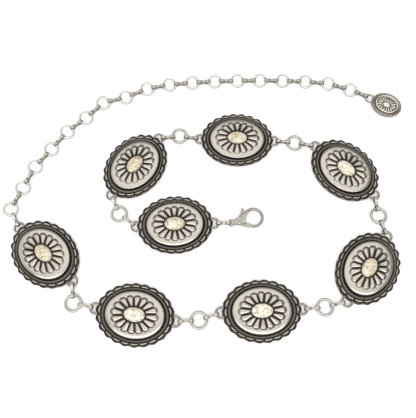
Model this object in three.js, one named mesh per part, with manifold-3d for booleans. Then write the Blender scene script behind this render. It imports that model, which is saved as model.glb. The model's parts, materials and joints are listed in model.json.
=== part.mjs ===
// Concho belt laid out on a table: eight oval cast conchos set with oval stones, joined by folded
// strap links and round rings, with a sprung lobster clasp at one end and an extension chain with
// a small oval pendant at the other. Millimetres, +Z up, the flat backs rest on z = 0.
import * as THREE from 'three';
import { mergeVertices } from 'three/addons/utils/BufferGeometryUtils.js';
import Module from 'manifold-3d';

const wasm = await Module();
wasm.setup();

// Concho casting: outline over the scallops, wall at the rim, and crown beside the stone
const CONCHO_LENGTH = 50;
const CONCHO_WIDTH = 39;
const CONCHO_RIM_HEIGHT = 3;
const CONCHO_CROWN_HEIGHT = 6.8;
const SCALLOPS = 22;
const SCALLOP_NOTCH = 1.3;
const PETALS = 16;
const PETAL_DEPTH = 0.8;
const SEAT_DEPTH = 1.5;
const SEAT_LIP = 0.5;

// Cabochon stone, held in the seat
const STONE_LENGTH = 13.2;
const STONE_WIDTH = 8.8;
const STONE_HEIGHT = 2.6;
const STONE_GAP = 0.3;

// Round wire loop cast on each end of a concho, and how far it stands out past the outline
const END_LOOP_INNER = 5;
const END_LOOP_WIRE = 1.4;
const END_LOOP_REACH = 4.4;

// Folded strap links, and the play that they keep in a ring or loop, sideways and up and down
const LINK_LENGTH = 10.3;
const LINK_END_WIDTH = 2;
const LINK_WAIST_WIDTH = 1.4;
const STRAP_THICKNESS = 0.65;
const LINK_PLAY = 0.2;
const LINK_HEADROOM = 0.25;

// Round rings between conchos, and thinner ones in the extension chain
const RING_OUTER = 11.6;
const RING_WIRE = 1.7;
const CHAIN_RING_OUTER = 10;
const CHAIN_RING_WIRE = 1.4;
const CHAIN_BITE = 0.15;

// Oval pendant on the end of the extension chain
const PENDANT_LENGTH = 21.2;
const PENDANT_WIDTH = 17.6;
const PENDANT_RIM_HEIGHT = 2.7;
const PENDANT_CROWN_HEIGHT = 3.7;
const PENDANT_RAYS = 18;
const PENDANT_LOOP_INNER = 4.4;
const PENDANT_LOOP_WIRE = 1.3;
const PENDANT_LOOP_REACH = 5.2;

// Lobster clasp: eye, round hook bar, flat body and the lever that turns on a pin in its slot
const CLASP_THICKNESS = 3.4;
const CLASP_EYE_INNER = 3.2;
const CLASP_EYE_WIRE = 0.9;
const HOOK_REACH = 14.9;
const HOOK_INNER = 10;
const HOOK_BAR = 1.8;
const HOOK_FROM_DEGREES = -114;
const HOOK_TO_DEGREES = 130;
const LEVER_THICKNESS = 1.2;
const LEVER_GAP = 0.3;
const LEVER_PIN = 1.1;
const LEVER_PIN_PLAY = 0.25;

// How round the faceted pieces are
const OVAL_SIDES = 22;
const STONE_SIDES = 14;
const RING_SIDES = 12;
const CHAIN_RING_SIDES = 10;
const WIRE_SIDES = 6;
const CHAIN_WIRE_SIDES = 5;

// Relief of a concho from the rim inwards: at is a share of the outline's size, rise a share of
// the height from rim to crown
const CONCHO_RELIEF = [
  { part: 'line inside the scallops', at: 0.85, rise: 0.1 },
  { part: 'crest of the rope band', at: 0.8, rise: 0.28 },
  { part: 'foot of the dome', at: 0.758, rise: 0.12 },
  { part: 'edge of the dome', at: 0.732, rise: 0.5 },
];
const PETAL_TIP = { at: 0.59, notch: 0.545, rise: 0.7 };
const PETAL_BROW = { at: 0.55, notch: 0.5, rise: 0.87 };

// Relief of the pendant, in the same shares
const PENDANT_RELIEF = [
  { part: 'inner edge of the rim', at: 0.82, rise: 0.25 },
  { part: 'dark line', at: 0.77, rise: 0 },
  { part: 'raised oval wire', at: 0.71, rise: 0.75 },
];
const RAY_OUTER = { at: 0.65, crest: 0.45, notch: 0.05 };
const RAY_INNER = { at: 0.27, crest: 0.6, notch: 0.2 };
const PENDANT_DOME = { at: 0.16, rise: 1 };

// Relief of a cabochon: at is a share of the stone's size, rise a share of its height
const STONE_RELIEF = [
  { part: 'underside', at: 1, rise: 0 },
  { part: 'girdle', at: 1, rise: 0.45 },
  { part: 'shoulder', at: 0.84, rise: 0.8 },
];
const STONE_TOP = { at: 0.45, rise: 1 };

// Route of the chain on the table, chosen by hand: each value is the direction in degrees that a
// concho or link points in, going from the clasp to the pendant. Places follow from the sizes.
// Slack is how far a link has slid into the loop that it arrives at.
const ROUTE = {
  clasp: 13.4,
  claspLink: 1.6,
  conchos: [182.4, 53.2, 358.3, 316.5, 234.9, 182.4, 170.9, 137],
  gaps: [
    { leaving: 144.1, arriving: 113.5 },
    { leaving: 7.6, arriving: 350.9 },
    { leaving: 354.5, arriving: 349.9 },
    { leaving: 276.7, arriving: 285.4 },
    { leaving: 194.4, arriving: 184.7 },
    { leaving: 198.4, arriving: 183 },
    { leaving: 167.5, arriving: 97.2, slack: 0.7 },
  ],
  chain: [
    119.7, 66.8, 66, 52.8, 53.2, 40.8, 45.3, 15.8, 23.8,
    12.6, 5.2, 3.6, 2, 0.8, 359.1, 357.8, 353.8, 342.3,
  ],
  pendantLink: 335.5,
  pendant: 337,
};

// Clasp outlines in its own frame, with the eye's centre at 0, 0 and the hook's centre on +X, as
// shares of the hook's reach along and of the hook bar's radius across
const CLASP_CHEEK = [
  [0.094, -0.254], [0.336, -0.39], [0.577, -0.424], [0.631, -0.119], [0.715, 0.339],
  [0.832, 0.729], [0.826, 0.983], [0.711, 0.915], [0.493, 0.729], [0.174, 0.254],
];
const CLASP_SLOT = [
  [0.201, -0.593], [0.671, -0.593], [0.664, -0.153], [0.614, -0.051], [0.617, 0.085],
  [0.651, 0.441], [0.698, 0.746], [0.705, 1.356], [0.201, 1.356],
];
const LEVER_OUTLINE = [
  [0.262, -0.237], [0.295, -0.441], [0.443, -0.593], [0.711, -0.932], [0.802, -0.949], [0.846, -0.703],
  [0.584, -0.339], [0.584, -0.051], [0.587, 0.085], [0.621, 0.441], [0.671, 0.78], [0.678, 1],
  [0.638, 1.373], [0.591, 1.39], [0.517, 1.017], [0.497, 0.746], [0.282, -0.034],
];
const LEVER_PIVOT = [0.349, -0.186];

const HOOK_RADIUS = (HOOK_INNER + HOOK_BAR) / 2;
const LINK_HEIGHT = RING_WIRE + 2 * (STRAP_THICKNESS + LINK_HEADROOM);
const LINK_SPAN = LINK_LENGTH - 2 * STRAP_THICKNESS;
const CHAIN_LEVEL = LINK_HEIGHT / 2;
const END_LOOP_PLACE = CONCHO_LENGTH / 2 + END_LOOP_REACH - END_LOOP_WIRE - END_LOOP_INNER / 2;
const PENDANT_LOOP_PLACE = PENDANT_LENGTH / 2 + PENDANT_LOOP_REACH
  - PENDANT_LOOP_WIRE - PENDANT_LOOP_INNER / 2;

const antiqueSilver = () => new THREE.MeshStandardMaterial({
  color: 0xc8c3b9, roughness: 0.38, metalness: 0.9,
});
const chainSilver = () => new THREE.MeshStandardMaterial({
  color: 0xb4b2ac, roughness: 0.3, metalness: 0.95,
});
const satinNickel = () => new THREE.MeshStandardMaterial({
  color: 0xaaa59b, roughness: 0.42, metalness: 0.9,
});
const creamStone = () => new THREE.MeshStandardMaterial({
  color: 0xe8dec3, roughness: 0.35, metalness: 0,
});

const radians = THREE.MathUtils.degToRad;

// A solid for joining and cutting, from a closed geometry
function solidFrom(geometry) {
  const bare = geometry.clone();
  bare.deleteAttribute('normal');
  bare.deleteAttribute('uv');
  const merged = mergeVertices(bare, 1e-4);
  return new wasm.Manifold(new wasm.Mesh({
    numProp: 3,
    vertProperties: new Float32Array(merged.attributes.position.array),
    triVerts: new Uint32Array(merged.index.array),
  }));
}

// The geometry of a joined or cut solid
function geometryFrom(solid) {
  const mesh = solid.getMesh();
  const geometry = new THREE.BufferGeometry();
  geometry.setAttribute('position', new THREE.BufferAttribute(mesh.vertProperties, 3));
  geometry.setIndex(new THREE.BufferAttribute(mesh.triVerts, 1));
  geometry.computeVertexNormals();
  return geometry;
}

// Points around an oval, evenly spaced along its edge. The pattern repeats around the oval, and
// each of its marks has a turn within the repeat, a share of the oval's size and a height.
function ovalRing(halfLength, halfWidth, repeats, pattern) {
  const edge = new THREE.EllipseCurve(0, 0, halfLength, halfWidth);
  return Array.from({ length: repeats }, (_, k) => pattern.map(({ turn, share, z }) => {
    const along = (k + turn) / repeats;
    const place = edge.getPointAt(along).multiplyScalar(share);
    return { along, point: [place.x, place.y, z] };
  })).flat();
}

// One closed skin over a stack of rings, from the middle of the underside outwards, up the wall
// and in again over the top. Rings may have different numbers of points.
function skinOver(rings) {
  const starts = rings.map((_, n) => rings.slice(0, n).flat().length);
  const faces = [];
  const corner = (n, k) => starts[n] + (k % rings[n].length);
  const alongAt = (ring, k) => (k > ring.length ? Infinity
    : ring[k % ring.length].along + (k === ring.length ? 1 : 0));
  for (let n = 0; n + 1 < rings.length; n += 1) {
    let i = 0;
    let j = 0;
    while (i < rings[n].length || j < rings[n + 1].length) {
      if (alongAt(rings[n], i + 1) <= alongAt(rings[n + 1], j + 1)) {
        faces.push(corner(n, i), corner(n, i + 1), corner(n + 1, j));
        i += 1;
      } else {
        faces.push(corner(n, i), corner(n + 1, j + 1), corner(n + 1, j));
        j += 1;
      }
    }
  }
  const last = rings.length - 1;
  for (let k = 1; k + 1 < rings[0].length; k += 1) {
    faces.push(corner(0, 0), corner(0, k + 1), corner(0, k));
  }
  for (let k = 1; k + 1 < rings[last].length; k += 1) {
    faces.push(corner(last, 0), corner(last, k), corner(last, k + 1));
  }
  const geometry = new THREE.BufferGeometry();
  const positions = rings.flat().flatMap(({ point }) => point);
  geometry.setAttribute('position', new THREE.Float32BufferAttribute(positions, 3));
  geometry.setIndex(faces);
  geometry.computeVertexNormals();
  return geometry;
}

// A ring of round wire, lying flat about its centre
function wireRing(innerWidth, wire, sides, wireSides) {
  return new THREE.TorusGeometry((innerWidth + wire) / 2, wire / 2, wireSides, sides);
}

// How far from a ring's centre a link's strap sits, with its corners clear of the faceted wire
function strapSeat(innerWidth, wire, sides) {
  const reach = (innerWidth + wire) / 2 * Math.cos(Math.PI / sides) - wire / 2 - LINK_PLAY;
  return Math.sqrt(reach ** 2 - (LINK_END_WIDTH / 2) ** 2);
}

// Plain ring of one height around an oval, at a share of its size
const level = (share, z) => [{ turn: 0, share, z }];

function castWithLoops(casting, loopPlaces, loopInner, loopWire) {
  let solid = solidFrom(casting);
  for (const place of loopPlaces) {
    const loop = wireRing(loopInner, loopWire, CHAIN_RING_SIDES, CHAIN_WIRE_SIDES);
    loop.translate(place, 0, CHAIN_LEVEL);
    solid = solid.add(solidFrom(loop));
  }
  return geometryFrom(solid);
}

function conchoGeometry() {
  const halfLength = CONCHO_LENGTH / 2;
  const halfWidth = CONCHO_WIDTH / 2;
  const seatLength = STONE_LENGTH / 2 + STONE_GAP;
  const seatWidth = STONE_WIDTH / 2 + STONE_GAP;
  const height = (rise) => CONCHO_RIM_HEIGHT + rise * (CONCHO_CROWN_HEIGHT - CONCHO_RIM_HEIGHT);
  const around = (repeats, pattern) => ovalRing(halfLength, halfWidth, repeats, pattern);
  const notch = 1 - SCALLOP_NOTCH / halfLength;
  const foot = 1 - SCALLOP_NOTCH / CONCHO_LENGTH;
  const rings = [
    around(SCALLOPS, level(foot, 0)),
    around(SCALLOPS, [
      { turn: 0.22, share: 1, z: CONCHO_RIM_HEIGHT },
      { turn: 0.5, share: notch, z: CONCHO_RIM_HEIGHT },
      { turn: 0.78, share: 1, z: CONCHO_RIM_HEIGHT },
    ]),
  ];
  for (const { at, rise } of CONCHO_RELIEF) {
    rings.push(around(OVAL_SIDES, level(at, height(rise))));
  }
  rings.push(around(PETALS, [
    { turn: 0.25, share: PETAL_TIP.at, z: height(PETAL_TIP.rise) },
    { turn: 0.5, share: PETAL_TIP.notch, z: height(PETAL_TIP.rise) },
    { turn: 0.75, share: PETAL_TIP.at, z: height(PETAL_TIP.rise) },
  ]));
  rings.push(around(PETALS, [
    { turn: 0, share: PETAL_BROW.at, z: height(PETAL_BROW.rise) },
    { turn: 0.5, share: PETAL_BROW.notch, z: height(PETAL_BROW.rise) - PETAL_DEPTH },
  ]));
  rings.push(ovalRing(seatLength + SEAT_LIP, seatWidth + SEAT_LIP, PETALS, [
    { turn: 0, share: 1, z: CONCHO_CROWN_HEIGHT },
    { turn: 0.5, share: 1, z: CONCHO_CROWN_HEIGHT - PETAL_DEPTH },
  ]));
  const seatRim = CONCHO_CROWN_HEIGHT - PETAL_DEPTH / 2;
  const seatFloor = CONCHO_CROWN_HEIGHT - SEAT_DEPTH;
  rings.push(ovalRing(seatLength, seatWidth, STONE_SIDES, level(1, seatRim)));
  rings.push(ovalRing(seatLength, seatWidth, STONE_SIDES, level(1, seatFloor)));
  const loopPlaces = [-END_LOOP_PLACE, END_LOOP_PLACE];
  return castWithLoops(skinOver(rings), loopPlaces, END_LOOP_INNER, END_LOOP_WIRE);
}

function stoneGeometry() {
  const around = (sides, share, rise) => ovalRing(
    STONE_LENGTH / 2, STONE_WIDTH / 2, sides, level(share, rise * STONE_HEIGHT),
  );
  const rings = STONE_RELIEF.map(({ at, rise }) => around(STONE_SIDES, at, rise));
  rings.push(around(STONE_SIDES / 2, STONE_TOP.at, STONE_TOP.rise));
  return skinOver(rings);
}

function pendantGeometry() {
  const rise = (share) => PENDANT_RIM_HEIGHT
    + share * (PENDANT_CROWN_HEIGHT - PENDANT_RIM_HEIGHT);
  const around = (repeats, pattern) => ovalRing(
    PENDANT_LENGTH / 2, PENDANT_WIDTH / 2, repeats, pattern,
  );
  const rings = [around(OVAL_SIDES, level(1, 0)), around(OVAL_SIDES, level(1, rise(0)))];
  for (const { at, rise: share } of PENDANT_RELIEF) {
    rings.push(around(OVAL_SIDES, level(at, rise(share))));
  }
  for (const { at, crest, notch } of [RAY_OUTER, RAY_INNER]) {
    rings.push(around(PENDANT_RAYS, [
      { turn: 0, share: at, z: rise(crest) },
      { turn: 0.5, share: at, z: rise(notch) },
    ]));
  }
  rings.push(around(OVAL_SIDES / 2, level(PENDANT_DOME.at, rise(PENDANT_DOME.rise))));
  const loopPlaces = [-PENDANT_LOOP_PLACE];
  return castWithLoops(skinOver(rings), loopPlaces, PENDANT_LOOP_INNER, PENDANT_LOOP_WIRE);
}

// A strap folded into a closed loop that stands on edge, waisted in the middle, along +X
function linkGeometry() {
  const halfLength = LINK_LENGTH / 2;
  const halfHeight = LINK_HEIGHT / 2;
  const corner = halfHeight / 2;
  const quarter = [[halfLength, corner], [halfLength - corner, halfHeight]];
  const outline = [
    ...quarter, [0, halfHeight], ...quarter.map(([x, z]) => [-x, z]).reverse(),
    ...quarter.map(([x, z]) => [-x, -z]), [0, -halfHeight],
    ...quarter.map(([x, z]) => [x, -z]).reverse(),
  ];
  const inward = (x, z) => [
    x * (1 - STRAP_THICKNESS / halfLength), z * (1 - STRAP_THICKNESS / halfHeight),
  ];
  const positions = outline.flatMap(([x, z]) => {
    const half = (x === 0 ? LINK_WAIST_WIDTH : LINK_END_WIDTH) / 2;
    const [innerX, innerZ] = inward(x, z);
    return [x, half, z, x, -half, z, innerX, -half, innerZ, innerX, half, innerZ];
  });
  const faces = [];
  for (let k = 0; k < outline.length; k += 1) {
    const here = 4 * k;
    const next = 4 * ((k + 1) % outline.length);
    for (let side = 0; side < 4; side += 1) {
      const beside = (side + 1) % 4;
      faces.push(here + side, next + side, next + beside);
      faces.push(here + side, next + beside, here + beside);
    }
  }
  const geometry = new THREE.BufferGeometry();
  geometry.setAttribute('position', new THREE.Float32BufferAttribute(positions, 3));
  geometry.setIndex(faces);
  geometry.computeVertexNormals();
  return geometry;
}

// A point of the clasp from its shares
const claspPoint = ([along, across]) => new THREE.Vector2(along * HOOK_REACH, across * HOOK_RADIUS);

// A flat piece of the clasp with the given outline, centred on its middle plane
function plate(outline, thickness) {
  const shape = new THREE.Shape(outline.map(claspPoint));
  const geometry = new THREE.ExtrudeGeometry(shape, { depth: thickness, bevelEnabled: false });
  return geometry.translate(0, 0, -thickness / 2);
}

function pinAt(at, diameter, length) {
  const pin = new THREE.CylinderGeometry(diameter / 2, diameter / 2, length, RING_SIDES);
  pin.rotateX(Math.PI / 2);
  return pin.translate(at.x, at.y, 0);
}

// Eye, slotted body, hook and rivet pin of the clasp, one casting
function claspBodyGeometry() {
  const arc = Array.from({ length: RING_SIDES + 1 }, (_, k) => {
    const angle = radians(HOOK_FROM_DEGREES
      + (HOOK_TO_DEGREES - HOOK_FROM_DEGREES) * k / RING_SIDES);
    const hookCentre = new THREE.Vector3(HOOK_REACH, 0, 0);
    const out = new THREE.Vector3(Math.cos(angle), Math.sin(angle), 0);
    return hookCentre.addScaledVector(out, HOOK_RADIUS);
  });
  const section = new THREE.Shape();
  section.absarc(0, 0, HOOK_BAR / 2, 0, 2 * Math.PI, false);
  const hook = new THREE.ExtrudeGeometry(section, {
    steps: RING_SIDES,
    curveSegments: WIRE_SIDES,
    bevelEnabled: false,
    extrudePath: new THREE.CatmullRomCurve3(arc),
  });
  const eye = wireRing(CLASP_EYE_INNER, CLASP_EYE_WIRE, CHAIN_RING_SIDES, CHAIN_WIRE_SIDES);
  const slot = plate(CLASP_SLOT, LEVER_THICKNESS + 2 * LEVER_GAP);
  const eyeHole = pinAt(new THREE.Vector2(), CLASP_EYE_INNER, 2 * CLASP_THICKNESS);
  const pin = pinAt(claspPoint(LEVER_PIVOT), LEVER_PIN, CLASP_THICKNESS);
  return geometryFrom(
    solidFrom(plate(CLASP_CHEEK, CLASP_THICKNESS))
      .subtract(solidFrom(slot))
      .subtract(solidFrom(eyeHole))
      .add(solidFrom(eye))
      .add(solidFrom(hook))
      .add(solidFrom(pin)),
  );
}

function claspLeverGeometry() {
  const outline = solidFrom(plate(LEVER_OUTLINE, LEVER_THICKNESS));
  const boreWidth = LEVER_PIN + 2 * LEVER_PIN_PLAY;
  const bore = pinAt(claspPoint(LEVER_PIVOT), boreWidth, 2 * CLASP_THICKNESS);
  return geometryFrom(outline.subtract(solidFrom(bore)));
}

const heading = (degrees) => new THREE.Vector3(Math.cos(radians(degrees)), Math.sin(radians(degrees)), 0);

const belt = new THREE.Group();

function place(name, geometry, material, at, degrees, z = 0) {
  const mesh = new THREE.Mesh(geometry, material);
  mesh.name = name;
  mesh.position.set(at.x, at.y, z);
  mesh.rotation.z = radians(degrees);
  belt.add(mesh);
  return mesh;
}

const ringInner = RING_OUTER - 2 * RING_WIRE;
const chainRingInner = CHAIN_RING_OUTER - 2 * CHAIN_RING_WIRE;
const loopSeat = strapSeat(END_LOOP_INNER, END_LOOP_WIRE, CHAIN_RING_SIDES);
const ringSeat = strapSeat(ringInner, RING_WIRE, RING_SIDES);
const eyeSeat = strapSeat(CLASP_EYE_INNER, CLASP_EYE_WIRE, CHAIN_RING_SIDES);
const pendantSeat = strapSeat(PENDANT_LOOP_INNER, PENDANT_LOOP_WIRE, CHAIN_RING_SIDES);
const chainSeat = (chainRingInner + CHAIN_RING_WIRE) / 2 * Math.cos(Math.PI / CHAIN_RING_SIDES)
  - CHAIN_RING_WIRE / 2 * Math.cos(Math.PI / CHAIN_WIRE_SIDES) + CHAIN_BITE;

// Steps from a ring's or loop's centre, over a link, to the next ring's or loop's centre
function stepOverLink(from, degrees, seatBefore, seatAfter) {
  const direction = heading(degrees);
  const linkCentre = from.clone().addScaledVector(direction, seatBefore + LINK_SPAN / 2);
  const next = from.clone().addScaledVector(direction, seatBefore + LINK_SPAN + seatAfter);
  return { linkCentre, next };
}

// Conchos with their stones, and the two links and ring in each gap between conchos
const firstConcho = new THREE.Vector3(0, 0, 0);
const stoneLevel = CONCHO_CROWN_HEIGHT - SEAT_DEPTH + STONE_GAP;
let conchoCentre = firstConcho;
let chainStart = firstConcho;
ROUTE.conchos.forEach((degrees, k) => {
  const number = k + 1;
  place(`concho_${number}`, conchoGeometry(), antiqueSilver(), conchoCentre, degrees);
  place(`stone_${number}`, stoneGeometry(), creamStone(), conchoCentre, degrees, stoneLevel);
  const loop = conchoCentre.clone().addScaledVector(heading(degrees), END_LOOP_PLACE);
  chainStart = loop;
  const gap = ROUTE.gaps[k];
  if (gap) {
    const out = stepOverLink(loop, gap.leaving, loopSeat, ringSeat);
    const back = stepOverLink(out.next, gap.arriving, ringSeat, loopSeat - (gap.slack ?? 0));
    const ring = wireRing(ringInner, RING_WIRE, RING_SIDES, WIRE_SIDES);
    place(`link_${number}a`, linkGeometry(), chainSilver(), out.linkCentre, gap.leaving, CHAIN_LEVEL);
    place(`ring_${number}`, ring, chainSilver(), out.next, gap.leaving, CHAIN_LEVEL);
    place(`link_${number}b`, linkGeometry(), chainSilver(), back.linkCentre, gap.arriving, CHAIN_LEVEL);
    conchoCentre = back.next.addScaledVector(heading(ROUTE.conchos[k + 1]), END_LOOP_PLACE);
  }
});

// Extension chain: thin rings tipped so that their near edge touches the table, joined by links,
// all of one body from the link on the last concho to the link on the pendant
const ringTip = Math.asin((2 * CHAIN_LEVEL - CHAIN_RING_WIRE) / (CHAIN_RING_OUTER - CHAIN_RING_WIRE));

function placedSolid(geometry, at, degrees) {
  geometry.rotateZ(radians(degrees));
  geometry.translate(at.x, at.y, CHAIN_LEVEL);
  return solidFrom(geometry);
}

let chainAt = chainStart;
let chainSolid = null;
ROUTE.chain.forEach((degrees, k) => {
  const seatBefore = k === 0 ? loopSeat : chainSeat;
  const step = stepOverLink(chainAt, degrees, seatBefore, chainSeat);
  const onward = k + 1 < ROUTE.chain.length ? ROUTE.chain[k + 1] : ROUTE.pendantLink;
  const turn = THREE.MathUtils.euclideanModulo(onward - degrees + 180, 360) - 180;
  const ring = wireRing(chainRingInner, CHAIN_RING_WIRE, CHAIN_RING_SIDES, CHAIN_WIRE_SIDES);
  ring.rotateZ(Math.PI / CHAIN_RING_SIDES);
  ring.rotateX(ringTip);
  const link = placedSolid(linkGeometry(), step.linkCentre, degrees);
  chainSolid = chainSolid ? chainSolid.add(link) : link;
  chainSolid = chainSolid.add(placedSolid(ring, step.next, degrees + turn / 2));
  chainAt = step.next;
});
const lastStep = stepOverLink(chainAt, ROUTE.pendantLink, chainSeat, pendantSeat);
chainSolid = chainSolid.add(placedSolid(linkGeometry(), lastStep.linkCentre, ROUTE.pendantLink));
place('extension_chain', geometryFrom(chainSolid), chainSilver(), new THREE.Vector3(), 0);

const pendantCentre = lastStep.next.addScaledVector(heading(ROUTE.pendant), PENDANT_LOOP_PLACE);
place('end_pendant', pendantGeometry(), antiqueSilver(), pendantCentre, ROUTE.pendant);

// Clasp, on a link from the first concho's other loop
const claspLoop = firstConcho.clone().addScaledVector(heading(ROUTE.conchos[0]), -END_LOOP_PLACE);
const claspStep = stepOverLink(claspLoop, ROUTE.claspLink, loopSeat, eyeSeat);
place('clasp_link', linkGeometry(), chainSilver(), claspStep.linkCentre, ROUTE.claspLink, CHAIN_LEVEL);
place('clasp_body', claspBodyGeometry(), satinNickel(), claspStep.next, ROUTE.clasp, CHAIN_LEVEL);
place('clasp_lever', claspLeverGeometry(), satinNickel(), claspStep.next, ROUTE.clasp, CHAIN_LEVEL);

// The origin is the middle of the laid belt, on the table
const extent = new THREE.Box3().setFromObject(belt, true);
const middle = extent.getCenter(new THREE.Vector3());
belt.position.set(-middle.x, -middle.y, -extent.min.z);

export default belt;
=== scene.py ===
import json
import math

import bmesh
import bpy
import numpy as np
from mathutils import Matrix, Vector


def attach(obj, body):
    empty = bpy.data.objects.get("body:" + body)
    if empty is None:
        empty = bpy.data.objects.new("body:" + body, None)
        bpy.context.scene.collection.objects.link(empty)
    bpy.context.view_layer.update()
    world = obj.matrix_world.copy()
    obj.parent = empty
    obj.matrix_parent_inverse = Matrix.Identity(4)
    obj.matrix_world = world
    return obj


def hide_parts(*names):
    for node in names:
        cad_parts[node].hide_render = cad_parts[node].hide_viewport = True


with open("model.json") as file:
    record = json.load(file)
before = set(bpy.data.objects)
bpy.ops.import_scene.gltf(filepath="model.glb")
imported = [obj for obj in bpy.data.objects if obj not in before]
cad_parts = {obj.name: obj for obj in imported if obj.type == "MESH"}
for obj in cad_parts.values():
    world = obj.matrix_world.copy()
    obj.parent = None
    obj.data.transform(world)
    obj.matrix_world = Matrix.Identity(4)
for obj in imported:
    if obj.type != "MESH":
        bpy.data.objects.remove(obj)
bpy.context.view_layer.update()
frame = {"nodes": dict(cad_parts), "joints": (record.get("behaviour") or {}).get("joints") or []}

# Camera: above the table on the near side, looking down at about 75 degrees, as the photo does.
# Its place was fitted to the outlines of the eight conchos.
camera = bpy.data.objects.new("camera", bpy.data.cameras.new("camera"))
bpy.context.scene.collection.objects.link(camera)
camera.location = (-0.00047, -0.08620, 0.29099)
aim = Vector((-0.00047, -0.00671, 0.003))
camera.rotation_euler = (aim - camera.location).to_track_quat("-Z", "Y").to_euler()
camera.data.lens = 38.915
camera.data.sensor_width = 36
camera.data.clip_start = 0.01
camera.data.clip_end = 20
bpy.context.scene.camera = camera
bpy.context.scene.view_settings.view_transform = "Standard"
bpy.context.scene.view_settings.look = "None"

# Lights: a dim room, a broad softbox overhead that the level plates mirror, one behind the camera
# that puts the bright edge on the near side of each dome, and a weaker one from the left.
world = bpy.data.worlds.new("white room")
bpy.context.scene.world = world
world.use_nodes = True
background = world.node_tree.nodes["Background"]
background.inputs["Color"].default_value = (1.0, 0.99, 0.975, 1)
background.inputs["Strength"].default_value = 0.52


def softbox(name, place, target, size, power):
    data = bpy.data.lights.new(name, "AREA")
    data.shape = "RECTANGLE"
    data.size, data.size_y = size
    data.energy = power
    light = bpy.data.objects.new(name, data)
    bpy.context.scene.collection.objects.link(light)
    light.location = place
    light.rotation_euler = (Vector(target) - Vector(place)).to_track_quat("-Z", "Y").to_euler()


softbox("top softbox", (0, 0.36, 1.1), (0, 0.36, 0), (1.9, 1.3), 12.2)
softbox("front softbox", (0, -0.62, 0.85), (0, 0, 0), (1.6, 0.45), 9.6)
softbox("side softbox", (-0.95, 0.1, 0.6), (0, 0, 0), (0.9, 0.4), 1.6)


# Floor: the plain, matt white ground that the belt lies on, a hair below the belt's backs. It gives a
# little light of its own, so that it stays white in the shade.
bpy.ops.mesh.primitive_plane_add(size=8, location=(0, 0, -0.0002))
floor = bpy.context.object
floor.name = "floor"
floor_paint = bpy.data.materials.new("white ground")
floor_paint.use_nodes = True
paint = floor_paint.node_tree.nodes["Principled BSDF"]
paint.inputs["Base Color"].default_value = (0.72, 0.72, 0.72, 1)
paint.inputs["Roughness"].default_value = 0.9
paint.inputs["Specular IOR Level"].default_value = 0.1
paint.inputs["Emission Color"].default_value = (1, 1, 1, 1)
paint.inputs["Emission Strength"].default_value = 0.15
floor.data.materials.append(floor_paint)


# Conchos: oval zinc castings, silver plated and then darkened, with the darkening polished off the
# high parts. Scallops round the rim, a rope-edged channel, a smooth dome and petals round the
# stone. A wire loop is cast on each end. Shade round the petals' tips is painted into the colour.
class Term:
    """A number worked out in a node tree, which joins to others with + - * / and the methods."""

    def __init__(self, tree, socket):
        self.tree = tree
        self.socket = socket

    def maths(self, operation, *others):
        node = self.tree.nodes.new("ShaderNodeMath")
        node.operation = operation
        for socket, value in zip(node.inputs, (self, *others)):
            if isinstance(value, Term):
                self.tree.links.new(value.socket, socket)
            else:
                socket.default_value = value
        return Term(self.tree, node.outputs[0])

    def __add__(self, other):
        return self.maths("ADD", other)

    def __sub__(self, other):
        return self.maths("SUBTRACT", other)

    def __mul__(self, other):
        return self.maths("MULTIPLY", other)

    def __truediv__(self, other):
        return self.maths("DIVIDE", other)

    def power(self, other):
        return self.maths("POWER", other)

    def over(self, other):
        return self.maths("MAXIMUM", other)

    def under(self, other):
        return self.maths("MINIMUM", other)

    def away(self):
        return self.maths("ABSOLUTE")

    def wave(self, count):
        """0 in the middle of each of count repeats, rising to 1 between them."""
        turn = (self * count + 0.5).maths("FRACT")
        return (turn * 2 - 1).away()

    def spread(self, low, high, out_low=0.0, out_high=1.0, smooth=True):
        """Goes from out_low to out_high while this goes from low to high."""
        node = self.tree.nodes.new("ShaderNodeMapRange")
        node.interpolation_type = "SMOOTHSTEP" if smooth else "LINEAR"
        self.tree.links.new(self.socket, node.inputs["Value"])
        keys = ("From Min", "From Max", "To Min", "To Max")
        for key, value in zip(keys, (low, high, out_low, out_high)):
            if isinstance(value, Term):
                self.tree.links.new(value.socket, node.inputs[key])
            else:
                node.inputs[key].default_value = value
        return Term(self.tree, node.outputs["Result"])

    def along_table(self, rows, column, largest):
        """The value in a column of a table, for this place down its first column."""
        node = self.tree.nodes.new("ShaderNodeFloatCurve")
        curve = node.mapping.curves[0]
        while len(curve.points) < len(rows):
            curve.points.new(0.5, 0.5)
        for point, row in zip(curve.points, rows):
            point.location = (row[0], row[column] / largest)
            point.handle_type = "VECTOR"
        node.mapping.update()
        self.tree.links.new(self.socket, node.inputs["Value"])
        return Term(self.tree, node.outputs[0]) * largest


def new_tree(name, sizes):
    """A geometry node tree with named inputs. Returns it with its input terms and output node."""
    tree = bpy.data.node_groups.new(name, "GeometryNodeTree")
    tree.interface.new_socket(name="Geometry", in_out="INPUT", socket_type="NodeSocketGeometry")
    for key, value in sizes.items():
        kind = "NodeSocketInt" if isinstance(value, int) else "NodeSocketFloat"
        tree.interface.new_socket(name=key, in_out="INPUT", socket_type=kind).default_value = value
    tree.interface.new_socket(name="Geometry", in_out="OUTPUT", socket_type="NodeSocketGeometry")
    group_in = tree.nodes.new("NodeGroupInput")
    group_out = tree.nodes.new("NodeGroupOutput")
    terms = {key: Term(tree, group_in.outputs[key]) for key in ("Geometry", *sizes)}
    return tree, terms, group_out


def add_node(tree, kind, settings=None, **inputs):
    """A node of a kind, with its settings and its inputs linked or set by name."""
    node = tree.nodes.new(kind)
    for key, value in (settings or {}).items():
        setattr(node, key, value)
    for key, value in inputs.items():
        socket = node.inputs[key.replace("_", " ")]
        if isinstance(value, Term):
            value = value.socket
        if isinstance(value, bpy.types.NodeSocket):
            tree.links.new(value, socket)
        else:
            socket.default_value = value
    return node


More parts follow.
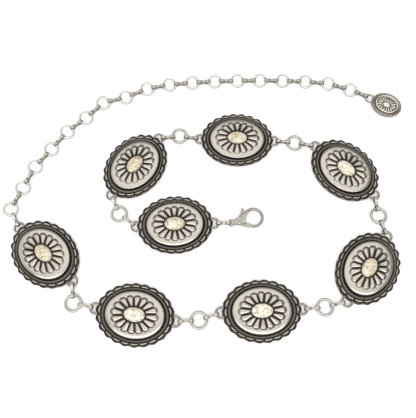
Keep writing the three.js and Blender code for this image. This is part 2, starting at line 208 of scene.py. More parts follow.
def grown(tree, sizes, start=None):
    """The plain mesh that a geometry node tree makes, with its inputs set by identifier."""
    holder = bpy.data.objects.new("holder", start or bpy.data.meshes.new("holder"))
    bpy.context.scene.collection.objects.link(holder)
    modifier = holder.modifiers.new("grow", "NODES")
    modifier.node_group = tree
    names = {item.name: item.identifier for item in tree.interface.items_tree if item.in_out == "INPUT"}
    for key, value in sizes.items():
        modifier[names[key]] = value
    depsgraph = bpy.context.evaluated_depsgraph_get()
    depsgraph.update()
    mesh = bpy.data.meshes.new_from_object(holder.evaluated_get(depsgraph))
    bpy.data.objects.remove(holder)
    return mesh


def show(name, mesh, node, body="belt"):
    """A finished mesh in the row frame as a piece that stands for a CAD node."""
    piece = bpy.data.objects.new(name, mesh)
    bpy.context.scene.collection.objects.link(piece)
    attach(piece, body)
    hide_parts(node)
    return piece


def lie_of(node):
    """Where a CAD node lies, as a matrix from millimetres about its middle, long way along X."""
    points = np.array([v.co for v in frame["nodes"][node].data.vertices])
    middle = (points.min(0) + points.max(0)) / 2
    flat = points[:, :2] - middle[:2]
    vectors = np.linalg.eigh(flat.T @ flat)[1]
    angle = math.atan2(vectors[1, 1], vectors[0, 1])
    middle[2] = 0
    return Matrix.Translation(middle) @ Matrix.Rotation(angle, 4, "Z") @ Matrix.Scale(0.001, 4)


def ring_nodes(tree, radius, wire, segments, sides):
    """A closed ring of round wire, flat about the origin."""
    circle = add_node(tree, "GeometryNodeCurvePrimitiveCircle", Resolution=segments, Radius=radius)
    section = add_node(tree, "GeometryNodeCurvePrimitiveCircle", Resolution=sides, Radius=wire)
    swept = add_node(tree, "GeometryNodeCurveToMesh", Curve=circle.outputs["Curve"],
                     Profile_Curve=section.outputs["Curve"])
    return swept.outputs["Mesh"]


def with_relief(tree, geometry, place):
    """The geometry with its relief chart stored: how far round the oval, and the tone there."""
    settings = {"data_type": "FLOAT2", "domain": "CORNER"}
    stored = add_node(tree, "GeometryNodeStoreNamedAttribute", settings, Geometry=geometry,
                      Name="relief", Value=place)
    return stored.outputs["Geometry"]


def polar_skin(tree, terms, table, seat, shape):
    """A closed skin over an oval: a grid whose columns go round it and whose rows follow the table
    from the middle of the underside, up the wall and in over the top. The table's columns are the
    row's place, share of the outline, share of the seat, height and tone."""
    grid = add_node(tree, "GeometryNodeMeshGrid", Size_X=1.0, Size_Y=1.0,
                    Vertices_X=terms["Columns"], Vertices_Y=terms["Rows"])
    place = add_node(tree, "ShaderNodeSeparateXYZ",
                     Vector=tree.nodes.new("GeometryNodeInputPosition").outputs[0])
    turn = Term(tree, place.outputs["X"]) + 0.5
    row = Term(tree, place.outputs["Y"]) + 0.5
    most_tone, most_height = 1.5, 8.0
    tone = row.along_table(table, 4, most_tone)
    height = row.along_table(table, 3, most_height)
    swell, lift = shape(turn, tone)
    sums = []
    for half_length, half_width, column in ((terms["Half Length"], terms["Half Width"], 1), (*seat, 2)):
        circle = add_node(tree, "GeometryNodeCurvePrimitiveCircle", Resolution=256, Radius=1.0)
        scale = tree.nodes.new("ShaderNodeCombineXYZ")
        tree.links.new(half_length.socket, scale.inputs[0])
        tree.links.new(half_width.socket, scale.inputs[1])
        oval = add_node(tree, "GeometryNodeTransform", Geometry=circle.outputs["Curve"],
                        Scale=scale.outputs[0])
        found = add_node(tree, "GeometryNodeSampleCurve", {"mode": "FACTOR"},
                         Curves=oval.outputs["Geometry"], Factor=turn)
        share = row.along_table(table, column, 1.0)
        if column == 1:
            share = share * swell
        sums.append(add_node(tree, "ShaderNodeVectorMath", {"operation": "SCALE"},
                             Vector=found.outputs["Position"], Scale=share).outputs[0])
    flat = tree.nodes.new("ShaderNodeVectorMath")
    flat.operation = "ADD"
    tree.links.new(sums[0], flat.inputs[0])
    tree.links.new(sums[1], flat.inputs[1])
    parts = add_node(tree, "ShaderNodeSeparateXYZ", Vector=flat.outputs[0])
    whole = add_node(tree, "ShaderNodeCombineXYZ", X=parts.outputs["X"], Y=parts.outputs["Y"],
                     Z=height + lift)
    chart = add_node(tree, "ShaderNodeCombineXYZ", X=turn, Y=tone)
    charted = with_relief(tree, grid.outputs["Mesh"], chart.outputs[0])
    raised = add_node(tree, "GeometryNodeSetPosition", Geometry=charted, Position=whole.outputs[0])
    closed = add_node(tree, "GeometryNodeMergeByDistance", Geometry=raised.outputs["Geometry"],
                      Distance=0.0005)
    return closed.outputs["Geometry"]


def finish_tree(tree, group_out, parts, material):
    """Joins parts, makes them one mesh, and gives it smooth shading and a material."""
    joined = tree.nodes.new("GeometryNodeJoinGeometry")
    for part in parts:
        tree.links.new(part, joined.inputs[0])
    real = add_node(tree, "GeometryNodeRealizeInstances", Geometry=joined.outputs[0])
    smooth = add_node(tree, "GeometryNodeSetShadeSmooth", Geometry=real.outputs[0])
    painted = add_node(tree, "GeometryNodeSetMaterial", Geometry=smooth.outputs[0], Material=material)
    tree.links.new(painted.outputs[0], group_out.inputs[0])
    return painted


def end_loops(tree, place, radius, wire, height, both):
    """The wire loops cast on an oval's ends, in the plain metal of its wall."""
    wall_tone = 1.12
    charted = with_relief(tree, ring_nodes(tree, radius, wire, 40, 14), (0.0, wall_tone, 0.0))
    made = []
    for side in (-1, 1) if both else (-1,):
        spot = add_node(tree, "ShaderNodeCombineXYZ", X=place * side, Y=0.0, Z=height)
        moved = add_node(tree, "GeometryNodeTransform", Geometry=charted, Translation=spot.outputs[0])
        made.append(moved.outputs["Geometry"])
    return made


def silver(name, bright, dark):
    """A metal material, with its tree, shader, and a mix of bright and dark metal by a factor."""
    material = bpy.data.materials.new(name)
    material.use_nodes = True
    tree = material.node_tree
    shader = tree.nodes["Principled BSDF"]
    shader.inputs["Metallic"].default_value = 1.0
    colour = tree.nodes.new("ShaderNodeMix")
    colour.data_type = "RGBA"
    colour.inputs["A"].default_value = (*bright, 1)
    colour.inputs["B"].default_value = (*dark, 1)
    tree.links.new(colour.outputs["Result"], shader.inputs["Base Color"])
    return material, tree, shader, colour


def patina(tree, scale, detail=4.0):
    """Slow unevenness in a finish, about 0.5 in the middle, on object coordinates."""
    where = tree.nodes.new("ShaderNodeTexCoord").outputs["Object"]
    noise = add_node(tree, "ShaderNodeTexNoise", Vector=where, Scale=scale, Detail=detail, Roughness=0.6)
    return Term(tree, noise.outputs["Fac"])


def drive(tree, term, shader, colour, rough_bright, rough_dark):
    """Drives a metal's colour and roughness by how dark it is."""
    tree.links.new(term.socket, colour.inputs["Factor"])
    rough = term.spread(0, 1, rough_bright, rough_dark, smooth=False)
    tree.links.new(rough.socket, shader.inputs["Roughness"])


def rope_valley(turn, tone):
    """0 along the crest of each strand of the rope, rising to 1 between the strands."""
    return ((turn * rope_strands + tone * rope_slant).maths("FRACT") - 0.5).away() * 2


def petal_tip(petal):
    """The tone at which a petal ends, furthest out along its middle."""
    return petal.power(2.4) * -0.062 + 0.606


scallops = 22
petals = 16
rope_strands = 88
rope_slant = 14
chain_height = 1.75
loop_place = 25.5
polished = (0.352, 0.328, 0.288)
darkened = (0.02, 0.0145, 0.0125)
concho_silver, shade, shader, colour = silver("antique silver", polished, darkened)
chart = add_node(shade, "ShaderNodeUVMap", {"uv_map": "relief"})
chart_parts = add_node(shade, "ShaderNodeSeparateXYZ", Vector=chart.outputs["UV"])
turn = Term(shade, chart_parts.outputs["X"])
tone = Term(shade, chart_parts.outputs["Y"])
scallop = turn.wave(scallops)
petal = turn.wave(petals)
on_top = tone.spread(1.03, 1.06, 1, 0)
band = tone.spread(0.872, 0.880) * on_top
lens_top = scallop.power(2.2) * -0.024 + 0.919
lens = (lens_top - tone).spread(-0.004, 0.005) * tone.spread(0.884, 0.890)
lens = lens * scallop.spread(0.7, 0.84, 1, 0)
between = scallop.spread(0.86, 0.97) * band
line = tone.spread(0.850, 0.856) * tone.spread(0.876, 0.882, 1, 0)
valley = rope_valley(turn, tone)
channel = tone.spread(0.774, 0.780) * tone.spread(0.850, 0.856, 1, 0)
groove = tone.spread(0.738, 0.746) * tone.spread(0.774, 0.780, 1, 0)
past_tip = tone - petal_tip(petal)
inside_tip = past_tip.spread(-0.006, 0.004, 1, 0)
gap = tone.spread(0.28, 0.50, 0.66, 0.8, smooth=False) + tone.spread(0.49, 0.575, 0, 0.2)
petal_side = (petal - gap).spread(-0.07, 0.02) * inside_tip
# Painted shade: a soft dark line round each petal's tip, fading out onto the plate where the tip drops to
# it.
tip_outline_shade = past_tip.spread(-0.008, 0.002) * past_tip.spread(0.002, 0.026, 1, 0)
# Painted shade: brown shading inside each petal, deepening towards its tip.
petal_inner_shade = past_tip.spread(-0.085, 0.0, 0, 0.68) * inside_tip
foot = tone.spread(0.30, 0.35, 0.3, 0) * inside_tip
bezel = tone.spread(0.272, 0.296, 1, 0)
# dark: the darkened plate in the hollows and grooves, with the painted shade at the petal tips mixed in.
dark = band * (lens * -0.9 + 0.95)
dark = dark.over(between * 0.99).over(line * 0.97)
dark = dark.over(channel * (valley * 0.2 + 0.64)).over(groove * 0.995)
dark = dark.over(petal_side * 0.985).over(tip_outline_shade * 0.22).over(petal_inner_shade).over(foot).over(bezel * 0.92)
dark = dark.over(tone.spread(1.05, 1.09) * 0.35)
dark = dark + (patina(shade, 900.0) - 0.5) * 0.16 + (patina(shade, 160.0) - 0.5) * 0.1
dark = dark.over(0.0).under(1.0)
drive(shade, dark, shader, colour, 0.26, 0.46)
hatch = (turn * scallops * 12 + tone * 40).maths("FRACT")
fine = patina(shade, 2600.0, 2.0)
bumps = hatch * band * lens * 0.5 + fine * 0.18
bump = add_node(shade, "ShaderNodeBump", Height=bumps, Distance=0.00012, Strength=0.8)
shade.links.new(bump.outputs["Normal"], shader.inputs["Normal"])

concho_table = [
    (0.000, 0.000, 0.00, 0.00, 1.40),
    (0.020, 0.950, 0.00, 0.00, 1.30),
    (0.040, 0.974, 0.00, 0.12, 1.20),
    (0.100, 0.985, 0.00, 2.10, 1.10),
    (0.120, 0.997, 0.00, 2.45, 1.04),
    (0.140, 1.000, 0.00, 2.75, 1.01),
    (0.165, 0.992, 0.00, 3.05, 0.99),
    (0.210, 0.960, 0.00, 3.40, 0.955),
    (0.250, 0.925, 0.00, 3.35, 0.925),
    (0.260, 0.918, 0.00, 3.20, 0.918),
    (0.285, 0.898, 0.00, 3.36, 0.898),
    (0.310, 0.878, 0.00, 3.20, 0.878),
    (0.325, 0.868, 0.00, 2.95, 0.868),
    (0.345, 0.856, 0.00, 2.95, 0.856),
    (0.365, 0.845, 0.00, 3.40, 0.845),
    (0.400, 0.814, 0.00, 3.70, 0.814),
    (0.435, 0.785, 0.00, 3.50, 0.785),
    (0.450, 0.774, 0.00, 3.20, 0.774),
    (0.480, 0.753, 0.00, 3.20, 0.753),
    (0.510, 0.744, 0.00, 4.35, 0.744),
    (0.540, 0.730, 0.00, 4.85, 0.730),
    (0.590, 0.684, 0.00, 5.22, 0.684),
    (0.630, 0.622, 0.00, 5.42, 0.622),
    (0.650, 0.600, 0.00, 5.46, 0.600),
    (0.740, 0.530, 0.00, 5.50, 0.530),
    (0.900, 0.100, 0.76, 5.85, 0.310),
    (0.930, 0.000, 0.98, 6.05, 0.270),
    (0.945, 0.000, 0.93, 6.05, 0.250),
    (0.955, 0.000, 0.92, 5.30, 0.240),
    (1.000, 0.000, 0.00, 5.30, 0.000),
]


def concho_shape(turn, tone):
    """How far a concho's outline draws in between scallops, and its relief in millimetres."""
    scallop = turn.wave(scallops)
    petal = turn.wave(petals)
    rim = tone.spread(0.90, 0.985) * tone.spread(1.03, 1.16, 1, 0.0)
    swell = (scallop.power(2.0) * rim * -0.062) + 1.0
    pillow = scallop.power(2.4) * tone.spread(0.885, 0.94) * tone.spread(1.0, 1.03, 1, 0) * -0.75
    inside = (petal_tip(petal) - tone).spread(0.0, 0.09).power(0.6) * tone.spread(0.262, 0.28)
    gap = tone.spread(0.28, 0.50, 0.70, 0.84, smooth=False) + tone.spread(0.49, 0.575, 0, 0.16)
    across = (petal / gap).under(1.0)
    vault = (across.power(2.0) * -1 + 1).power(0.5)
    strands = (rope_valley(turn, tone).power(2.0) * -1 + 1) * tone.spread(0.776, 0.79)
    strands = strands * tone.spread(0.838, 0.854, 1, 0) * 0.34
    return swell, pillow + strands + inside * vault * 0.85


tree, terms, group_out = new_tree("concho", {
    "Columns": 529, "Rows": 85, "Half Length": 25.0, "Half Width": 19.5,
    "Seat Half Length": 7.4, "Seat Half Width": 5.2,
    "Loop Place": loop_place, "Loop Radius": 3.2, "Loop Wire": 0.7, "Loop Height": chain_height,
})
seat = (terms["Seat Half Length"], terms["Seat Half Width"])
skin = polar_skin(tree, terms, concho_table, seat, concho_shape)
loops = end_loops(tree, terms["Loop Place"], terms["Loop Radius"], terms["Loop Wire"],
                  terms["Loop Height"], both=True)
finish_tree(tree, group_out, [skin, *loops], concho_silver)
concho_mesh = grown(tree, {})
for number in range(1, 9):
    node = f"concho_{number}"
    mesh = concho_mesh.copy()
    mesh.transform(lie_of(node))
    show(f"casting_{number}", mesh, node)

# Stones: polished cream cabochons with fine tan veins, cut from one block so that each is
# different, and held in the seat in the middle of a concho.
stone_paint = bpy.data.materials.new("cream stone")
stone_paint.use_nodes = True
shade = stone_paint.node_tree
shader = shade.nodes["Principled BSDF"]
where = shade.nodes.new("ShaderNodeTexCoord").outputs["Object"]
warp = add_node(shade, "ShaderNodeTexNoise", Vector=where, Scale=420.0, Detail=3.0)
bend = add_node(shade, "ShaderNodeVectorMath", {"operation": "MULTIPLY_ADD"})
shade.links.new(warp.outputs["Color"], bend.inputs[0])
bend.inputs[1].default_value = (0.0022, 0.0022, 0.0022)
shade.links.new(where, bend.inputs[2])
cells = add_node(shade, "ShaderNodeTexVoronoi", {"feature": "DISTANCE_TO_EDGE"}, Vector=bend.outputs[0],
                 Scale=330.0)
strength = patina(shade, 260.0)
vein = Term(shade, cells.outputs["Distance"]).spread(0.0, 0.11, 1, 0) * strength.spread(0.36, 0.52)
cloud = patina(shade, 330.0).spread(0.45, 0.7) * 0.7 + patina(shade, 21.0, 0.0).spread(0.42, 0.56) * 0.6
base = add_node(shade, "ShaderNodeMix", {"data_type": "RGBA"})
base.inputs["A"].default_value = (0.66, 0.625, 0.525, 1)
base.inputs["B"].default_value = (0.46, 0.4, 0.275, 1)
shade.links.new(cloud.under(1.0).socket, base.inputs["Factor"])
veined = add_node(shade, "ShaderNodeMix", {"data_type": "RGBA"})
shade.links.new(base.outputs["Result"], veined.inputs["A"])
veined.inputs["B"].default_value = (0.2, 0.125, 0.065, 1)
shade.links.new((vein * 0.85).socket, veined.inputs["Factor"])
shade.links.new(veined.outputs["Result"], shader.inputs["Base Color"])
shader.inputs["Roughness"].default_value = 0.32
shader.inputs["Coat Weight"].default_value = 0.6
shader.inputs["Coat Roughness"].default_value = 0.08

tree, terms, group_out = new_tree("stone", {
    "Half Length": 6.7, "Half Width": 4.5, "Girdle": 5.65, "Top": 2.35, "Under": 0.3,
})
ball = add_node(tree, "GeometryNodeMeshUVSphere", Segments=48, Rings=24, Radius=1.0)
place = add_node(tree, "ShaderNodeSeparateXYZ",
                 Vector=tree.nodes.new("GeometryNodeInputPosition").outputs[0])
level = Term(tree, place.outputs["Z"])
top = level.over(0.0) * terms["Top"]
under = level.under(0.0) * terms["Under"]
spot = add_node(tree, "ShaderNodeCombineXYZ", X=Term(tree, place.outputs["X"]) * terms["Half Length"],
                Y=Term(tree, place.outputs["Y"]) * terms["Half Width"], Z=top + under + terms["Girdle"])
cut = add_node(tree, "GeometryNodeSetPosition", Geometry=ball.outputs["Mesh"], Position=spot.outputs[0])
finish_tree(tree, group_out, [cut.outputs["Geometry"]], stone_paint)
stone_mesh = grown(tree, {})
for number in range(1, 9):
    mesh = stone_mesh.copy()
    mesh.transform(lie_of(f"concho_{number}"))
    show(f"cabochon_{number}", mesh, f"stone_{number}")

# Links and rings between the conchos: links are flat strap folded into a loop and closed, rings
# are round wire, soldered shut, all in bright plate that has dulled a little.
def dulled(name, bright, dark, wear):
    """Bright plate that handling has dulled unevenly."""
    material, shade, shader, colour = silver(name, bright, dark)
    dull = (patina(shade, 700.0) - 0.5) * 0.5 + (patina(shade, 2400.0, 2.0) - 0.5) * 0.25 + wear
    drive(shade, dull.over(0.0).under(1.0), shader, colour, 0.24, 0.42)
    bump = add_node(shade, "ShaderNodeBump", Height=patina(shade, 1500.0), Distance=0.00005, Strength=0.35)
    shade.links.new(bump.outputs["Normal"], shader.inputs["Normal"])
    return material


ring_metal = dulled("ring silver", (0.42, 0.405, 0.38), (0.045, 0.038, 0.032), 0.14)
strap_metal = dulled("strap silver", (0.4, 0.375, 0.335), (0.045, 0.035, 0.028), 0.2)


def strap_nodes(tree, terms):
    """A flat strap folded into a loop on edge along X, waisted and pressed together in the middle."""
    oblong = add_node(tree, "GeometryNodeCurvePrimitiveQuadrilateral",
                      Width=terms["Link Length"] - terms["Strap"],
                      Height=terms["Link Height"] - terms["Strap"])
    rounded = add_node(tree, "GeometryNodeFilletCurve", {"mode": "POLY"}, Curve=oblong.outputs[0],
                       Radius=terms["Fold"], Count=8)
    even = add_node(tree, "GeometryNodeResampleCurve", Curve=rounded.outputs[0], Count=60)
    stood = add_node(tree, "GeometryNodeTransform", Geometry=even.outputs[0], Rotation=(math.pi / 2, 0, 0))
    flat = add_node(tree, "GeometryNodeCurvePrimitiveQuadrilateral", Width=terms["Link Width"],
                    Height=terms["Strap"])
    section = add_node(tree, "GeometryNodeFilletCurve", {"mode": "POLY"}, Curve=flat.outputs[0],
                       Radius=terms["Strap"] * 0.3, Count=3)
    swept = add_node(tree, "GeometryNodeCurveToMesh", Curve=stood.outputs[0],
                     Profile_Curve=section.outputs[0])
    place = add_node(tree, "ShaderNodeSeparateXYZ",
                     Vector=tree.nodes.new("GeometryNodeInputPosition").outputs[0])
    far = Term(tree, place.outputs["X"]).away() / terms["Link Length"] * 2
    waist = far.spread(0.1, 0.85, terms["Waist"], 1.0)
    height = Term(tree, place.outputs["Z"])
    pinch = far.spread(0.12, 0.5, terms["Pinch"], 0.0) * height.maths("SIGN")
    spot = add_node(tree, "ShaderNodeCombineXYZ", X=place.outputs["X"],
                    Y=Term(tree, place.outputs["Y"]) * waist, Z=height - pinch)
    shaped = add_node(tree, "GeometryNodeSetPosition", Geometry=swept.outputs[0], Position=spot.outputs[0])
    return shaped.outputs["Geometry"]


strap_sizes = {"Link Length": 10.3, "Link Height": 3.5, "Link Width": 2.0, "Strap": 0.65, "Fold": 1.2,
               "Waist": 0.78, "Pinch": 0.7}
tree, terms, group_out = new_tree("strap link", strap_sizes)
finish_tree(tree, group_out, [strap_nodes(tree, terms)], strap_metal)
link_mesh = grown(tree, {})
tree, terms, group_out = new_tree("round ring", {"Radius": 4.95, "Wire": 0.85})
finish_tree(tree, group_out, [ring_nodes(tree, terms["Radius"], terms["Wire"], 64, 18)], ring_metal)
ring_mesh = grown(tree, {})
lift = Matrix.Translation((0, 0, chain_height))
for node in sorted(frame["nodes"]):
    if node.startswith("link_") or node == "clasp_link":
        mesh = link_mesh.copy()
        mesh.transform(lie_of(node) @ lift)
        show(f"strap_{node}", mesh, node)
    if node.startswith("ring_"):
        mesh = ring_mesh.copy()
        mesh.transform(lie_of(node) @ lift)
        show(f"wire_{node}", mesh, node)

# Extension chain: thinner rings and the same strap links by turns, laid in a curve from the last
# concho to the pendant, each ring tipped so that its near edge touches the table. The headings are the
# directions of the links in degrees round from X, rounded from a fit to the photo.
headings = [119.7, 66.8, 66, 52.8, 53.2, 40.8, 45.3, 15.8, 23.8, 12.6, 5.2, 3.6, 2, 0.8, 359.1, 357.8,
            353.8, 342.3, 335.5]


def heading(degrees):
    """The level direction that lies so many degrees round from X."""
    return Vector((math.cos(math.radians(degrees)), math.sin(math.radians(degrees)), 0))


# A link's ends bear this far from the middle of the concho's loop and of a chain ring.
seat_in_loop = 1.896
seat_in_ring = 3.673
chain_pitch = strap_sizes["Link Length"] - 2 * strap_sizes["Strap"] + 2 * seat_in_ring
chain_ring_radius = 4.3
chain_ring_wire = 0.7
concho_lie = lie_of("concho_8")
ends = [concho_lie @ Vector((side * loop_place, 0, 0)) for side in (-1, 1)]
point = 1000 * max(ends, key=lambda p: p.y) + heading(headings[0]) * (seat_in_loop - seat_in_ring)
route = [point]
for degrees in headings:
    point = point + heading(degrees) * chain_pitch
    route.append(point)
route = [Vector((p.x, p.y, chain_height)) for p in route]
path = bpy.data.meshes.new("chain route")
path.from_pydata(route, [(k, k + 1) for k in range(len(headings))], [])
facing = path.attributes.new("facing", "FLOAT", "POINT")
leading = path.attributes.new("leading", "FLOAT", "EDGE")
for k, degrees in enumerate(headings):
    leading.data[k].value = math.radians(degrees)
    turned = (headings[k] - headings[k - 1] + 180) % 360 - 180 if k else 0
    facing.data[k].value = math.radians(headings[k - 1] + turned / 2) if k else 0

chain_metal = dulled("thin ring silver", (0.5, 0.49, 0.47), (0.06, 0.052, 0.045), 0.08)
tree, terms, group_out = new_tree("extension chain", {
    **strap_sizes, "Ring Radius": chain_ring_radius, "Ring Wire": chain_ring_wire,
    "Tip": math.asin((chain_height - chain_ring_wire) / chain_ring_radius), "Rings": len(headings) - 1,
})
count = tree.nodes.new("GeometryNodeInputIndex")
number = Term(tree, count.outputs[0])
inner = number.maths("GREATER_THAN", 0.5) * number.maths("LESS_THAN", terms["Rings"] + 0.5)
dots = add_node(tree, "GeometryNodeMeshToPoints", {"mode": "VERTICES"}, Mesh=terms["Geometry"],
                Selection=inner)
turned = add_node(tree, "GeometryNodeInputNamedAttribute", {"data_type": "FLOAT"}, Name="facing")
pose = add_node(tree, "ShaderNodeCombineXYZ", X=terms["Tip"], Y=0.0, Z=turned.outputs[0])
laid = add_node(tree, "FunctionNodeEulerToRotation", Euler=pose.outputs[0])
ring = ring_nodes(tree, terms["Ring Radius"], terms["Ring Wire"], 56, 16)
rings = add_node(tree, "GeometryNodeInstanceOnPoints", Points=dots.outputs[0], Instance=ring,
                 Rotation=laid.outputs[0])
middles = add_node(tree, "GeometryNodeMeshToPoints", {"mode": "EDGES"}, Mesh=terms["Geometry"])
leads = add_node(tree, "GeometryNodeInputNamedAttribute", {"data_type": "FLOAT"}, Name="leading")
pose = add_node(tree, "ShaderNodeCombineXYZ", X=0.0, Y=0.0, Z=leads.outputs[0])
laid = add_node(tree, "FunctionNodeEulerToRotation", Euler=pose.outputs[0])
strap = add_node(tree, "GeometryNodeStoreNamedAttribute", {"data_type": "BOOLEAN", "domain": "FACE"},
                 Geometry=strap_nodes(tree, terms), Name="strap", Value=True)
links = add_node(tree, "GeometryNodeInstanceOnPoints", Points=middles.outputs[0],
                 Instance=strap.outputs[0], Rotation=laid.outputs[0])
ringed = finish_tree(tree, group_out, [rings.outputs[0], links.outputs[0]], chain_metal)
is_strap = add_node(tree, "GeometryNodeInputNamedAttribute", {"data_type": "BOOLEAN"}, Name="strap")
strapped = add_node(tree, "GeometryNodeSetMaterial", Geometry=ringed.outputs[0],
                    Selection=is_strap.outputs[0], Material=strap_metal)
tree.links.new(strapped.outputs[0], group_out.inputs[0])
mesh = grown(tree, {}, path)
mesh.transform(Matrix.Scale(0.001, 4))
show("ring_chain", mesh, "extension_chain")

# Pendant: a small oval casting with a smooth rim, a raised oval wire and rays round a dome, in the
# same darkened plate, hung by its own loop.
rays = 18
polished = (0.48, 0.447, 0.39)
darkened = (0.032, 0.025, 0.02)
pendant_silver, shade, shader, colour = silver("pendant silver", polished, darkened)
chart = add_node(shade, "ShaderNodeUVMap", {"uv_map": "relief"})
chart_parts = add_node(shade, "ShaderNodeSeparateXYZ", Vector=chart.outputs["UV"])
turn = Term(shade, chart_parts.outputs["X"])
tone = Term(shade, chart_parts.outputs["Y"])
ray = turn.wave(rays)
rim = tone.spread(0.82, 0.84) * tone.spread(0.97, 1.03, 1, 0.55)
well = tone.spread(0.775, 0.785) * tone.spread(0.82, 0.84, 1, 0)
inner_line = tone.spread(0.60, 0.61) * tone.spread(0.635, 0.645, 1, 0)
side = (ray - 0.5).spread(-0.1, 0.25) * tone.spread(0.29, 0.33) * tone.spread(0.60, 0.64, 1, 0)
foot = tone.spread(0.22, 0.25) * tone.spread(0.28, 0.32, 1, 0)
dark = (rim * 0.66).over(well * 0.9).over(inner_line * 0.86).over(side * 0.9).over(foot * 0.62)
dark = (dark + (patina(shade, 1200.0) - 0.5) * 0.2).over(0.0).under(1.0)
drive(shade, dark, shader, colour, 0.26, 0.42)
bump = add_node(shade, "ShaderNodeBump", Height=patina(shade, 2400.0), Distance=0.00008, Strength=0.5)
shade.links.new(bump.outputs["Normal"], shader.inputs["Normal"])

pendant_table = [
    (0.000, 0.000, 0.00, 0.00, 1.40),
    (0.030, 0.950, 0.00, 0.00, 1.30),
    (0.060, 0.990, 0.00, 0.30, 1.20),
    (0.140, 1.000, 0.00, 1.90, 1.05),
    (0.200, 0.980, 0.00, 2.50, 0.98),
    (0.260, 0.930, 0.00, 2.85, 0.93),
    (0.330, 0.870, 0.00, 2.80, 0.87),
    (0.360, 0.825, 0.00, 2.60, 0.82),
    (0.390, 0.780, 0.00, 2.60, 0.780),
    (0.420, 0.770, 0.00, 3.15, 0.770),
    (0.450, 0.745, 0.00, 3.38, 0.745),
    (0.480, 0.712, 0.00, 3.45, 0.712),
    (0.510, 0.678, 0.00, 3.40, 0.678),
    (0.540, 0.652, 0.00, 3.20, 0.652),
    (0.560, 0.642, 0.00, 2.75, 0.642),
    (0.580, 0.622, 0.00, 2.70, 0.615),
    (0.820, 0.000, 0.70, 2.85, 0.30),
    (0.850, 0.000, 0.63, 2.80, 0.26),
    (0.880, 0.000, 0.58, 3.10, 0.22),
    (0.950, 0.000, 0.30, 3.60, 0.12),
    (1.000, 0.000, 0.00, 3.70, 0.00),
]


def pendant_shape(turn, tone):
    """The pendant's plain outline, and the relief of its rays in millimetres."""
    ray = turn.wave(rays)
    zone = tone.spread(0.30, 0.36) * tone.spread(0.56, 0.63, 1, 0)
    vault = ((ray / 0.7).under(1.0).power(2.0) * -1 + 1).power(0.5)
    return 1.0, vault * zone * 0.55


pendant_sizes = {
    "Columns": 289, "Rows": 67, "Half Length": 10.6, "Half Width": 8.8,
    "Seat Half Length": 4.6, "Seat Half Width": 3.4,
    "Loop Place": 12.3, "Loop Radius": 2.85, "Loop Wire": 0.65, "Loop Height": chain_height,
}
tree, terms, group_out = new_tree("pendant", pendant_sizes)
seat = (terms["Seat Half Length"], terms["Seat Half Width"])
skin = polar_skin(tree, terms, pendant_table, seat, pendant_shape)
loops = end_loops(tree, terms["Loop Place"], terms["Loop Radius"], terms["Loop Wire"],
                  terms["Loop Height"], both=False)
finish_tree(tree, group_out, [skin, *loops], pendant_silver)
mesh = grown(tree, {})
lie = lie_of("end_pendant")
loop_side = lie @ Vector((-1, 0, 0)) - lie @ Vector((0, 0, 0))
chain_end = route[-1] * 0.001
if (chain_end - lie.translation).dot(loop_side) < 0:
    lie = lie @ Matrix.Rotation(math.pi, 4, "Z")
loop_reach = sum(pendant_sizes[key] for key in ("Loop Place", "Loop Radius", "Loop Wire"))
off_middle = (loop_reach - pendant_sizes["Half Length"]) / 2
mesh.transform(lie @ Matrix.Translation((off_middle, 0, 0)))
show("oval_drop", mesh, "end_pendant")

# Clasp: a cast lobster clasp in satin nickel. The body has two cheeks with a slot between them,
# a round eye behind and a round hook bar in front, all one casting with the rivet.
nickel, shade, shader, colour = silver("satin nickel", (0.3, 0.282, 0.252), (0.055, 0.047, 0.04))
wear = (patina(shade, 420.0) - 0.5) * 1.1 + (patina(shade, 2600.0, 2.0) - 0.5) * 0.3 + 0.16
drive(shade, wear.over(0.0).under(1.0), shader, colour, 0.3, 0.46)
bump = add_node(shade, "ShaderNodeBump", Height=patina(shade, 2000.0), Distance=0.00006, Strength=0.4)
shade.links.new(bump.outputs["Normal"], shader.inputs["Normal"])

pivot = Vector(frame["joints"][0]["pos_m"])
rivet = (5.2, -1.097)
rivet_radius = 0.55
rivet_head = 0.85
hook_middle = 14.9
hook_radius = 5.9
clasp_heading = math.radians(13.4)
clasp_lie = (Matrix.Translation(pivot) @ Matrix.Rotation(clasp_heading, 4, "Z") @ Matrix.Scale(0.001, 4)
             @ Matrix.Translation((-rivet[0], -rivet[1], 0)))


def eased(corners, steps=5):
    """A closed outline that passes smoothly through its corners."""
    line = []
    for k in range(len(corners)):
        a, b, c, d = (Vector((*corners[(k + n) % len(corners)], 0)) for n in (-1, 0, 1, 2))
        for step in range(steps):
            t = step / steps
            spot = 0.5 * (2 * b + (c - a) * t + (2 * a - 5 * b + 4 * c - d) * t ** 2
                          + (3 * b - a - 3 * c + d) * t ** 3)
            line.append((spot.x, spot.y))
    return line


def slab(mesh, outline, low, high):
    """A flat plate with the given outline between two levels."""
    bottom = [mesh.verts.new((x, y, low)) for x, y in outline]
    top = [mesh.verts.new((x, y, high)) for x, y in outline]
    mesh.faces.new(top)
    mesh.faces.new(bottom[::-1])
    for k in range(len(outline)):
        n = (k + 1) % len(outline)
        mesh.faces.new((bottom[k], bottom[n], top[n], top[k]))


def tube(mesh, centres, radii, sides=20, closed=False):
    """Round bar through the given centres, which lie in one level."""
    rings = []
    total = len(centres)
    for k, centre in enumerate(centres):
        ahead = centres[(k + 1) % total] if closed or k + 1 < total else centres[k]
        behind = centres[k - 1] if closed or k else centres[k]
        way = (Vector(ahead) - Vector(behind)).normalized()
        out = Vector((way.y, -way.x, 0))
        ring = []
        for s in range(sides):
            a = 2 * math.pi * s / sides
            spoke = math.cos(a) * out + math.sin(a) * Vector((0, 0, 1))
            ring.append(mesh.verts.new(Vector(centre) + radii[k] * spoke))
        rings.append(ring)
    for k in range(total if closed else total - 1):
        here, there = rings[k], rings[(k + 1) % total]
        for s in range(sides):
            n = (s + 1) % sides
            mesh.faces.new((here[s], here[n], there[n], there[s]))
    if not closed:
        mesh.faces.new(rings[0][::-1])
        mesh.faces.new(rings[-1])


